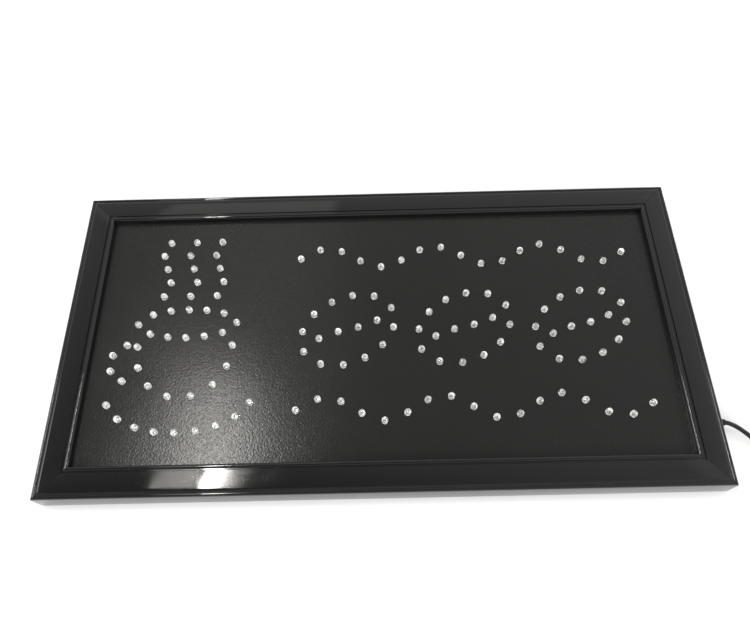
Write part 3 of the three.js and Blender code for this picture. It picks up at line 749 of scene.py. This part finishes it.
def right_rail_tools():
    """Cuts both walls of the right rail for the lead and the buttons."""
    outer_wall = (-1, 3.2)
    inner_wall = (10.8, FIN_U + 1)
    relief = centre_mm("strain_relief")
    tools = [bar_across(relief, RELIEF_HOLE_RADIUS, *outer_wall)]
    tools.append(bar_across(relief, LEAD_BORE_RADIUS, *inner_wall))
    for button in ("power_button", "flash_button"):
        tools.append(bar_across(centre_mm(button), BUTTON_HOLE_RADIUS, *outer_wall))
        tools.append(bar_across(centre_mm(button), STEM_BORE_RADIUS, *inner_wall))
    return together(tools)


def add_rails():
    sides = [(2 * HALF_WIDTH, HALF_HEIGHT), (2 * HALF_HEIGHT, HALF_WIDTH)]
    for i, node in enumerate(RAILS):
        length, distance = sides[i % 2]
        shell = rail(length, distance, i * QUARTER)
        tools = right_rail_tools() if node == "rail_right" else None
        black = FRAME_BLACK["xy"[i % 2]]
        piece(node + "_moulding", shell, black, replaces=[node], tools=tools)


# ---- Front panel, LEDs and rear cover ----------------------------------------------------------


def perforated_sheet(edge_u, holes, levels):
    """A flat sheet inside the frame with round holes (x, y, radius), through (inset, z) levels."""
    layers = []
    for inset, z in levels:
        x = HALF_WIDTH - edge_u - inset
        y = HALF_HEIGHT - edge_u - inset
        corners = [(-x, -y), (x, -y), (x, y), (-x, y)]
        layer = [[(SIGN_CENTRE.x + a, SIGN_CENTRE.y + b, z) for a, b in corners]]
        for hole_x, hole_y, radius in holes:
            rim = circle(hole_x, hole_y, radius + inset, LED_SIDES)
            layer.append([(a, b, z) for a, b in rim])
        layers.append(layer)
    return stacked(layers)


def led_nodes():
    return sorted(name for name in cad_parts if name.startswith("leds_"))


def led_centres(node):
    """The middle of each LED of a string, at its tip."""
    points = node_points(node)
    tip = max(point.z for point in points)
    tips = [point for point in points if tip - point.z < SHEET_EASE]
    return cluster_centres(tips, LED_RADIUS)


def led_lens():
    dome = arc(0, LED_SHOULDER, LED_RADIUS, 0, 90, LED_DOME_RINGS)
    dome[-1] = (0, LED_SHOULDER + LED_RADIUS)
    ease = 0.15
    flange = [
        (0, LED_BASE),
        (LED_FLANGE_RADIUS - ease, LED_BASE),
        (LED_FLANGE_RADIUS, LED_BASE + ease),
        (LED_FLANGE_RADIUS, LED_FLANGE_TOP - ease),
        (LED_FLANGE_RADIUS - ease, LED_FLANGE_TOP),
        (LED_RADIUS, LED_FLANGE_TOP),
    ]
    return turned(flange + dome, LED_SIDES)


def led_foot():
    """A shallow frosted dish inside the lens, which carries painted brightness."""
    base = 13.2
    rim = 14.6
    radius = 2.32
    flat = 2.1
    outside = [(0, base), (flat, base), (radius, base + 0.2), (radius, rim - 0.1), (flat, rim)]
    return turned(outside + [(0, rim - 0.4)], LED_SIDES)


def led_lead_frame():
    """The cup that holds the die on its post, and the second post with its flag."""
    base = 14.4
    floor = 15.0
    rim = 15.6
    outside = [(0, base), (0.4, base), (0.62, base + 0.3), (1.0, rim)]
    inside = [(0.86, rim), (0.5, floor), (0, floor)]
    cup_sides = 18
    ease = 0.06
    shells_at = [
        (-0.35, turned(outside + inside, cup_sides)),
        (-0.6, rounded_bar(0.3, 0.25, LED_POST_FOOT, base + 0.2, ease)),
        (1.1, rounded_bar(0.28, 0.22, LED_POST_FOOT, floor + 0.2, ease)),
        (1.0, rounded_bar(0.5, 0.3, floor, floor + 0.4, ease)),
    ]
    return together([moved(shell, Matrix.Translation((x, 0, 0))) for x, shell in shells_at])


def linked_pairs(centres):
    """Pairs of centres that join them all with the least wire."""
    reached = [centres[0]]
    waiting = list(centres[1:])
    pairs = []
    while waiting:
        steps = []
        for i, here in enumerate(reached):
            steps += [((here - there).length, i, j) for j, there in enumerate(waiting)]
        _, i, j = min(steps)
        pairs.append((reached[i], waiting[j]))
        reached.append(waiting.pop(j))
    return pairs


def string_wire(start, end):
    """A hook-up wire with a little slack to one side, just under the LEDs' feet."""
    across = Vector((start.y - end.y, end.x - start.x, 0)).normalized()
    path = []
    steps = 8
    sides = 8
    for i in range(steps + 1):
        t = i / steps
        point = start.lerp(end, t) + across * (STRING_WIRE_SLACK * math.sin(math.pi * t))
        path.append(Vector((point.x, point.y, STRING_WIRE_Z)))
    return wire(path, STRING_WIRE_RADIUS, sides)


def add_leds():
    """Fits every string: lenses, what shows inside them, and the wires behind.

    Returns the holes that the panel needs, as (x, y, radius).
    """
    draw = random.Random(5)
    lens = led_lens()
    foot = led_foot()
    lead_frame = led_lead_frame()
    holes = []
    for node in led_nodes():
        centres = led_centres(node)
        spins = []
        for centre in centres:
            spin = Matrix.Rotation(draw.uniform(0, TURN), 4, "Z")
            tilt = Matrix.Rotation(draw.uniform(-LED_TILT, LED_TILT), 4, "X")
            lift = Matrix.Translation((centre.x, centre.y, PANEL_BACK))
            drop = Matrix.Translation((0, 0, -PANEL_BACK))
            spins.append(lift @ spin @ tilt @ drop)
            holes.append((centre.x, centre.y, LED_HOLE_RADIUS))
        lenses = together([moved(lens, place) for place in spins])
        feet = together([moved(foot, place) for place in spins])
        frames = together([moved(lead_frame, place) for place in spins])
        wires = together([string_wire(a, b) for a, b in linked_pairs(centres)])
        piece(node + "_lenses", lenses, EPOXY, replaces=[node])
        piece(node + "_feet", feet, PAINTED_LIGHT_FOOT)
        piece(node + "_lead_frames", frames, LEAD_FRAME)
        piece(node + "_wires", wires, RED_VINYL)
    return holes


def add_front_panel(holes):
    levels = [(0, PANEL_BACK), (0, PANEL_FACE - SHEET_EASE), (SHEET_EASE, PANEL_FACE)]
    shell = perforated_sheet(PANEL_EDGE_U, holes, levels)
    piece("front_panel_sheet", shell, PANEL, replaces=["front_panel"])


def screw_nodes():
    return sorted(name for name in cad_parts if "_screw_" in name)


def add_rear_cover():
    holes = [(centre_mm(n).x, centre_mm(n).y, SCREW_HOLE_RADIUS) for n in screw_nodes()]
    levels = [(SHEET_EASE, COVER_BACK), (0, COVER_BACK + SHEET_EASE), (0, COVER_FRONT)]
    shell = perforated_sheet(COVER_EDGE_U, holes, levels)
    piece("rear_cover_sheet", shell, HARDBOARD, replaces=["rear_cover"])


# ---- Screws and hangers ------------------------------------------------------------------------


def threaded_shank(start, end):
    """Shank profile from under the head to the tip, with a shallow thread drawn as rings."""
    root = SCREW_SHANK_RADIUS - THREAD_DEPTH
    lead_in = 0.3
    points = [(SCREW_SHANK_RADIUS, start)]
    for i in range(int((end - start - SCREW_SHANK_RADIUS) / THREAD_PITCH)):
        z = start + THREAD_PITCH * (i + lead_in)
        points += [(root, z), (SCREW_SHANK_RADIUS, z + THREAD_PITCH / 2)]
    return points + [(root, end - SCREW_SHANK_RADIUS), (0, end)]


def screw(low, high):
    """A pan-head screw driven upwards, its head at the bottom."""
    head_top = low + SCREW_HEAD_HEIGHT
    ease = 0.08
    crown = [(radius, low + height) for radius, height in SCREW_CROWN]
    seat = [(SCREW_HEAD_RADIUS, head_top - ease), (SCREW_HEAD_RADIUS - ease, head_top)]
    return turned(crown + seat + threaded_shank(head_top, high))


def cross_recess(low):
    """The two tapered bars that cut the driver recess into a screw's head."""
    mouth = (1.45, 0.34, low - 0.3)
    foot = (0.75, 0.2, low + 0.8)
    corners = [(-1, -1), (1, -1), (1, 1), (-1, 1)]
    layers = [[[(a * x, b * y, z) for a, b in corners]] for x, y, z in (mouth, foot)]
    return [moved(stacked(layers), Matrix.Rotation(turn, 4, "Z")) for turn in (0, QUARTER)]


def add_screws():
    draw = random.Random(11)
    for node in screw_nodes():
        low, high = box_mm(node)
        centre = (low + high) / 2
        spin = Matrix.Rotation(draw.uniform(0, TURN), 4, "Z")
        place = Matrix.Translation((centre.x, centre.y, 0)) @ spin
        obj = mesh_object(node + "_cross_head", moved(screw(low.z, high.z), place))
        for bar in cross_recess(low.z):
            cut(obj, moved(bar, place))
        finish_piece(obj, ZINC, replaces=[node])


def strap_shell(centre_x, pin_y, pin_z):
    """A folded strip: a flat tail under the cover and a knuckle rolled round the ring's bar."""
    top = pin_z + KNUCKLE_RADIUS
    meet = math.degrees(math.asin((KNUCKLE_RADIUS - SHEET_METAL) / KNUCKLE_RADIUS))
    curl_steps = 36
    curl = arc(0, pin_z, KNUCKLE_RADIUS, 90, 180 - meet - 360, curl_steps)
    outline = [(-STRAP_TAIL, top)] + curl + [(-STRAP_TAIL, top - SHEET_METAL)]
    bore = circle(0, pin_z, KNUCKLE_BORE, LED_SIDES)
    layers = []
    for x in (centre_x - STRAP_HALF_WIDTH, centre_x + STRAP_HALF_WIDTH):
        layers.append([[(x, pin_y + y, z) for y, z in loop] for loop in (outline, bore)])
    return stacked(layers, from_side)


def strap_tools(centre_x, pin_y, screw_y):
    """Cuts the screw hole and rounds the tail's corners."""
    overrun = 1
    low = -overrun
    high = COVER_BACK + overrun
    shells = [upright(circle(centre_x, screw_y, SCREW_HOLE_RADIUS), low, high)]
    corner_x = STRAP_HALF_WIDTH - STRAP_CORNER
    corner_y = pin_y - STRAP_TAIL + STRAP_CORNER
    past_x = STRAP_HALF_WIDTH + overrun
    past_y = pin_y - STRAP_TAIL - overrun
    outline = arc(corner_x, corner_y, STRAP_CORNER, 270, 360, 10)
    outline += [(past_x, corner_y), (past_x, past_y), (corner_x, past_y)]
    for side in (-1, 1):
        shells.append(upright([(centre_x + side * x, y) for x, y in outline], low, high))
    return together(shells)


def ring_path(centre_x, pin_y, pin_z):
    """The D of the ring: a straight bar, two tight corners and a half ellipse."""
    flat_end = RING_HALF_WIDTH - RING_CORNER
    bar_steps = 8
    corner_steps = 6
    arch_steps = 32
    bar = [(flat_end * (2 * i / bar_steps - 1), 0) for i in range(bar_steps + 1)]
    right = arc(flat_end, RING_CORNER, RING_CORNER, 270, 360, corner_steps)[1:]
    rise = RING_REACH - RING_CORNER
    arch = arc(0, 0, 1, 0, 180, arch_steps)[1:]
    arch = [(RING_HALF_WIDTH * x, RING_CORNER + rise * y) for x, y in arch]
    left = arc(-flat_end, RING_CORNER, RING_CORNER, 180, 270, corner_steps)[1:-1]
    return [Vector((centre_x + x, pin_y + y, pin_z)) for x, y in bar + right + arch + left]


def add_hangers():
    """Two straps under the cover, each with its ring on a body of its own."""
    ease = 0.12
    ring_sides = 18
    for side in ("left", "right"):
        strap_low, strap_high = box_mm("hanger_strap_" + side)
        x = (strap_low.x + strap_high.x) / 2
        pin_y = strap_high.y - KNUCKLE_RADIUS
        pin_z = strap_high.z - KNUCKLE_RADIUS
        screw_y = centre_mm("hanger_screw_" + side).y
        strap = mesh_object("hanger_strap_" + side + "_formed", strap_shell(x, pin_y, pin_z))
        cut(strap, strap_tools(x, pin_y, screw_y))
        ease_edges(strap, ease)
        finish_piece(strap, ZINC, replaces=["hanger_strap_" + side])
        node = "hanger_ring_" + side
        ring = wire(ring_path(x, pin_y, pin_z), RING_WIRE, ring_sides, closed=True)
        piece(node + "_wire", ring, ZINC, body=node, replaces=[node])


# ---- Buttons, lead and plug --------------------------------------------------------------------


def button_profile(inner, outer):
    """From the stem's inner end to a dished cap, measured outward from the side wall."""
    ease = 0.1
    collar = 3.7
    collar_out = -2.3
    collar_in = collar_out - 0.8
    stem = [(0, inner), (STEM_RADIUS - ease, inner), (STEM_RADIUS, inner + ease)]
    profile = stem + [
        (STEM_RADIUS, collar_in),
        (collar - ease, collar_in),
        (collar, collar_in + ease),
        (collar, collar_out - ease),
        (collar - ease, collar_out),
        (BUTTON_RADIUS, collar_out),
    ]
    return profile + [(radius, outer - depth) for radius, depth in BUTTON_CAP + BUTTON_DISH]


def out_of_side(node, profile_between):
    """A shell turned about a line out of the right side, from a node's inner to its outer end."""
    low, high = box_mm(node)
    middle = (low + high) / 2
    profile = profile_between(low.x - SIGN_HIGH.x, high.x - SIGN_HIGH.x)
    origin = Vector((SIGN_HIGH.x, middle.y, middle.z))
    return moved(turned(profile), along((1, 0, 0), origin))


def add_buttons():
    finishes = {
        "power_button": (RED_PLASTIC, "button_red"),
        "flash_button": (BLACK_PLASTIC, "button_black"),
    }
    for node, (material, slot) in finishes.items():
        shell = out_of_side(node, button_profile)
        piece(node + "_cap", shell, material, body=node, replaces=[node])


def lead_centreline():
    """The lead's middle line, from the board to the plug, read from the rings of its CAD tube."""
    ring_reach = 2 * LEAD_RADIUS + 0.3
    waiting = cluster_centres(node_points("power_lead"), ring_reach)
    line = [min(waiting, key=lambda point: point.x)]
    waiting.remove(line[0])
    while waiting:
        line.append(min(waiting, key=lambda point: (point - line[-1]).length))
        waiting.remove(line[-1])
    return line


def smoothed(points, steps):
    """More points on a smooth curve through the ones given."""
    curve = []
    for i in range(len(points) - 1):
        p0 = points[max(i - 1, 0)]
        p1 = points[i]
        p2 = points[i + 1]
        p3 = points[min(i + 2, len(points) - 1)]
        for step in range(steps):
            t = step / steps
            blend = 2 * p1 + (p2 - p0) * t + (2 * p0 - 5 * p1 + 4 * p2 - p3) * t * t
            blend += (3 * p1 - p0 - 3 * p2 + p3) * t * t * t
            curve.append(blend / 2)
    return curve + [points[-1]]


def ribs(start, end, outer_start, outer_end, count, depth):
    """Profile points of a tapering sleeve with rounded rings round it."""
    one_rib = [(0.05, 0), (0.2, 0.8), (0.4, 1), (0.6, 0.8), (0.75, 0), (0.95, 0)]
    points = []
    for i in range(count):
        for share, lift in one_rib:
            t = (i + share) / count
            outer = outer_start + (outer_end - outer_start) * t
            points.append((outer - depth * (1 - lift), start + (end - start) * t))
    return points


def relief_profile(inner, outer):
    """A moulded bush: flanges inside and outside the wall, its neck, and a ribbed sleeve."""
    bore = 1.7
    ease = 0.3
    wall_in = -2.5
    wall_out = 0.1
    profile = [
        (bore, inner),
        (RELIEF_FLANGE - ease, inner),
        (RELIEF_FLANGE, inner + ease),
        (RELIEF_FLANGE, wall_in),
        (RELIEF_NECK, wall_in),
        (RELIEF_NECK, wall_out),
        (RELIEF_FLANGE - 0.1, wall_out),
        (RELIEF_FLANGE, 0.25),
        (RELIEF_FLANGE, 0.9),
        (RELIEF_FLANGE - 0.15, 1.2),
        (RELIEF_FLANGE - 0.5, 1.38),
        (RELIEF_NECK, 1.42),
    ]
    profile += ribs(1.6, outer - 0.1, 2.95, 2.4, count=4, depth=0.32)
    return profile + [(2.2, outer), (bore, outer)]


def add_lead():
    line = lead_centreline()
    steps_between = 4
    jacket = wire(smoothed(line, steps_between), LEAD_RADIUS, LEAD_SIDES)
    piece("power_lead_jacket", jacket, BLACK_VINYL, replaces=["power_lead"])
    bush = out_of_side("strain_relief", relief_profile)
    piece("strain_relief_bush", bush, BLACK_VINYL, replaces=["strain_relief"])
    add_plug(line[-1], (line[-1] - line[-2]).normalized())


def grip_profile():
    """The moulded grip: a bore for the lead, a ribbed neck, a rounded body and a socket."""
    bore = 1.9
    neck_end = -8
    profile = [(0, 0), (bore, 0), (bore, neck_end + 0.4), (2.1, neck_end), (2.5, neck_end)]
    profile += ribs(neck_end + 0.4, -1.6, 2.75, 3.5, count=4, depth=0.4)
    profile += [(3.7, -1.2), (4.1, -0.5), (4.4, 0.4), (GRIP_RADIUS, 1.6)]
    profile += [(GRIP_RADIUS, 14.9), (4.5, 15.5), (4.2, 15.9), (3.9, GRIP_END)]
    return profile + [(SOCKET_RADIUS, GRIP_END), (SOCKET_RADIUS, SOCKET_FLOOR), (0, SOCKET_FLOOR)]


def barrel_profile():
    """A closed tube from the socket's floor, its mouth rounded outside and inside."""
    foot = SOCKET_FLOOR + 0.1
    bore_floor = GRIP_END + 0.2
    return [
        (0, foot),
        (BARREL_RADIUS - 0.05, foot),
        (BARREL_RADIUS, foot + 0.1),
        (BARREL_RADIUS, BARREL_END - 0.4),
        (BARREL_RADIUS - 0.1, BARREL_END - 0.1),
        (BARREL_RADIUS - 0.3, BARREL_END),
        (BARREL_BORE + 0.2, BARREL_END),
        (BARREL_BORE, BARREL_END - 0.2),
        (BARREL_BORE, bore_floor),
        (0, bore_floor),
    ]


def add_plug(lead_end, heading):
    gap = 0.3
    place = along(heading, lead_end + heading * gap)
    grip = moved(turned(grip_profile()), place)
    piece("plug_grip_moulding", grip, BLACK_VINYL, replaces=["plug_grip"])
    barrel = moved(turned(barrel_profile()), place)
    piece("plug_barrel_tube", barrel, NICKEL, replaces=["plug_barrel"])


# ---- Pieces inside the case keep their CAD shape ------------------------------------------------


INSIDE = {
    "controller_board": BOARD,
    "board_pad": FOAM,
    "capacitor": CAN,
    "flasher_chip": CHIP,
    "driver_1": CHIP,
    "driver_2": CHIP,
    "driver_3": CHIP,
    "resistor_row": CHIP,
    "power_switch": CHIP,
    "flash_switch": CHIP,
    "corner_key_1": NYLON,
    "corner_key_2": NYLON,
    "corner_key_3": NYLON,
    "corner_key_4": NYLON,
    "feed_wire_waves": RED_VINYL,
    "feed_wire_beans": RED_VINYL,
    "feed_wire_cup": RED_VINYL,
    "feed_wire_steam": RED_VINYL,
    "power_switch_lead": RED_VINYL,
    "flash_switch_lead": RED_VINYL,
}


def finish_inside():
    """Each keeps its mesh; modifiers weld it and ease its edges."""
    weld_reach = 0.01 * MM
    ease = 0.12 * MM
    sharp = math.radians(60)
    for node, material in INSIDE.items():
        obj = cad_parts[node]
        obj.data.materials.clear()
        obj.data.materials.append(material)
        weld = obj.modifiers.new("weld", "WELD")
        weld.merge_threshold = weld_reach
        bevel = obj.modifiers.new("ease", "BEVEL")
        bevel.width = ease
        bevel.segments = 2
        bevel.limit_method = "ANGLE"
        bevel.angle_limit = sharp


# ---- Stage, light and camera -------------------------------------------------------------------


def floor_material():
    """A pale matt sweep with a faint mottle."""
    paint = Paint("pale_floor")
    colour = paint.blend(paint.noise(3, detail=3), (0.86, 0.86, 0.86), (0.9, 0.9, 0.9))
    return paint.end(paint.node("ShaderNodeBsdfDiffuse", {"Color": colour}).outputs[0])


def add_floor():
    mesh = bpy.data.meshes.new("floor")
    reach = FLOOR_REACH
    corners = [(-reach, -reach), (reach, -reach), (reach, reach), (-reach, reach)]
    mesh.from_pydata([(x, y, -FLOOR_DROP) for x, y in corners], [], [(0, 1, 2, 3)])
    mesh.materials.append(floor_material())
    floor = bpy.data.objects.new("floor", mesh)
    bpy.context.scene.collection.objects.link(floor)


def add_world():
    """A white studio that dims overhead, which is what the sign's face mirrors.

    The camera sees it plain white, like the floor.
    """
    world = bpy.data.worlds.new("studio")
    bpy.context.scene.world = world
    world.use_nodes = True
    nodes = Nodes(world.node_tree)
    direction = nodes.node("ShaderNodeTexCoord").outputs["Generated"]
    pair = {0: direction, 1: Vector(DIM_SIDE).normalized()}
    facing = nodes.node("ShaderNodeVectorMath", pair, operation="DOT_PRODUCT").outputs["Value"]
    overhead = nodes.math("POWER", facing, DIM_SPREAD)
    brightness = nodes.remap(overhead, 0, 1, HORIZON_LIGHT, OVERHEAD_LIGHT)
    camera_ray = nodes.node("ShaderNodeLightPath").outputs["Is Camera Ray"]
    strength = nodes.math("MAXIMUM", brightness, camera_ray)
    white = nodes.node("ShaderNodeBackground", {"Color": (1, 1, 1, 1), "Strength": strength})
    nodes.node("ShaderNodeOutputWorld", {"Surface": white.outputs[0]})


def add_lamp(light, place, aim=(0, 0, 0), mirrored=True):
    lamp = bpy.data.objects.new(light.name, light)
    lamp.visible_glossy = mirrored
    lamp.location = place
    lamp.rotation_euler = (Vector(aim) - Vector(place)).to_track_quat("-Z", "Y").to_euler()
    bpy.context.scene.collection.objects.link(lamp)


def add_window(name, centre_x, centre_y, width, length, brightness):
    """A plain lit strip overhead, which the rails and the panel's left half mirror."""
    light = bpy.data.lights.new(name, "AREA")
    light.shape = "RECTANGLE"
    light.size = width
    light.size_y = length
    light.energy = brightness * math.pi * width * length
    light.color = WINDOW_TINT
    add_lamp(light, (centre_x, centre_y, WINDOW_HEIGHT), aim=(centre_x, centre_y, 0))


def add_lights():
    """Three broad soft lights round the sign, and the windows overhead.

    The front one isn't mirrored: it would draw a streak along the bottom rail's rolled edge.
    """
    for side, (place, strength) in SOFT_LIGHTS.items():
        light = bpy.data.lights.new("soft_light_" + side, "SUN")
        light.angle = SOFT_LIGHT_ANGLE
        light.energy = strength
        add_lamp(light, place, mirrored=side != "front")
    for name, shape_and_brightness in WINDOWS.items():
        add_window(name, *shape_and_brightness)


def add_camera():
    data = bpy.data.cameras.new("camera")
    data.sensor_width = CAMERA_SENSOR
    data.lens = CAMERA_LENS
    data.clip_start = CAMERA_NEAR
    camera = bpy.data.objects.new("camera", data)
    camera.location = CAMERA_PLACE
    camera.rotation_euler = [math.radians(angle) for angle in CAMERA_TURN]
    bpy.context.scene.collection.objects.link(camera)
    bpy.context.scene.camera = camera


def keep_plain_colours():
    """Shows colours as they are set, so that the floor stays white and the frame black."""
    bpy.context.scene.view_settings.view_transform = "Standard"


add_rails()
add_front_panel(add_leds())
add_rear_cover()
add_screws()
add_hangers()
add_buttons()
add_lead()
finish_inside()
add_floor()
add_world()
add_lights()
add_camera()
keep_plain_colours()
